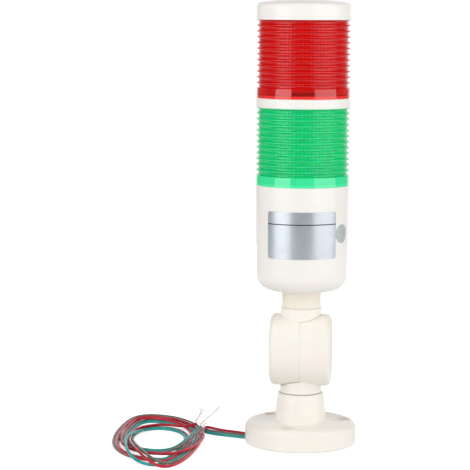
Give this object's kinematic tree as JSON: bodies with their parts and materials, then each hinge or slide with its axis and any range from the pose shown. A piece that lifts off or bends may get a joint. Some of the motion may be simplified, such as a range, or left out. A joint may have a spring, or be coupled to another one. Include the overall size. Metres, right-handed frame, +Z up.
{
  "type": "stack light",
  "caption": "Slim tower light with ribbed red and green lenses on a white body, on a folding foot with a round screw-down flange and loose wires.",
  "frame": {"origin": "centre of the foot's underside", "axes": "+Z up the tower, +X along the fold's pivot, -Y the labelled front"},
  "size_m": [0.1335, 0.1286, 0.2393],
  "materials": {
    "white_plastic": "moulded, slightly glossy",
    "ivory_plastic": "moulded, slightly glossy",
    "red_lens": "clear coloured moulding",
    "green_lens": "clear coloured moulding",
    "steel": "zinc plated",
    "brass": "turned",
    "seal_rubber": "black",
    "board": "white solder mask",
    "black_plastic": "black",
    "lamp": "lamp bodies",
    "label_foil": "silver foil",
    "sticker_foil": "silver foil",
    "red_wire": "insulated wire",
    "grey_wire": "insulated wire",
    "green_wire": "insulated wire"
  },
  "bodies": {
    "foot": {"mounting_base": "ivory_plastic", "lower_joint_half": "ivory_plastic", "pivot_screw": "steel", "pivot_head_washer": "steel", "pivot_nut_washer": "steel", "pivot_nut": "steel", "red_wire_lead": "red_wire", "grey_wire_lead": "grey_wire", "green_wire_lead": "green_wire", "red_wire_tail": "red_wire", "grey_wire_tail": "grey_wire", "green_wire_tail": "green_wire", "wire_hank": "grey_wire"},
    "tower": {"upper_joint_half": "ivory_plastic", "body_housing": "white_plastic", "green_lens": "green_lens", "spacer_ring": "white_plastic", "red_lens": "red_lens", "top_cap": "white_plastic", "cap_insert": "brass", "tie_rod": "steel", "rod_nuts": "steel", "anchor_plate": "steel", "anchor_screws": "steel", "driver_board": "board", "terminal_block": "black_plastic", "capacitor": "black_plastic", "driver_chip": "black_plastic", "board_screws": "steel", "green_lamp_board": "board", "green_lamp_column": "board", "green_lamps": "lamp", "red_lamp_board": "board", "red_lamp_column": "board", "red_lamps": "lamp", "green_lower_seal": "seal_rubber", "green_upper_seal": "seal_rubber", "red_lower_seal": "seal_rubber", "red_upper_seal": "seal_rubber", "red_board_plug": "black_plastic", "rating_label": "label_foil", "round_sticker": "sticker_foil"}
  },
  "joints": [
    {"name": "fold", "type": "hinge", "parent": "foot", "child": "tower", "pos_m": [0, 0, 0.051], "axis": [1, 0, 0], "range_deg": [-90, 90]}
  ]
}
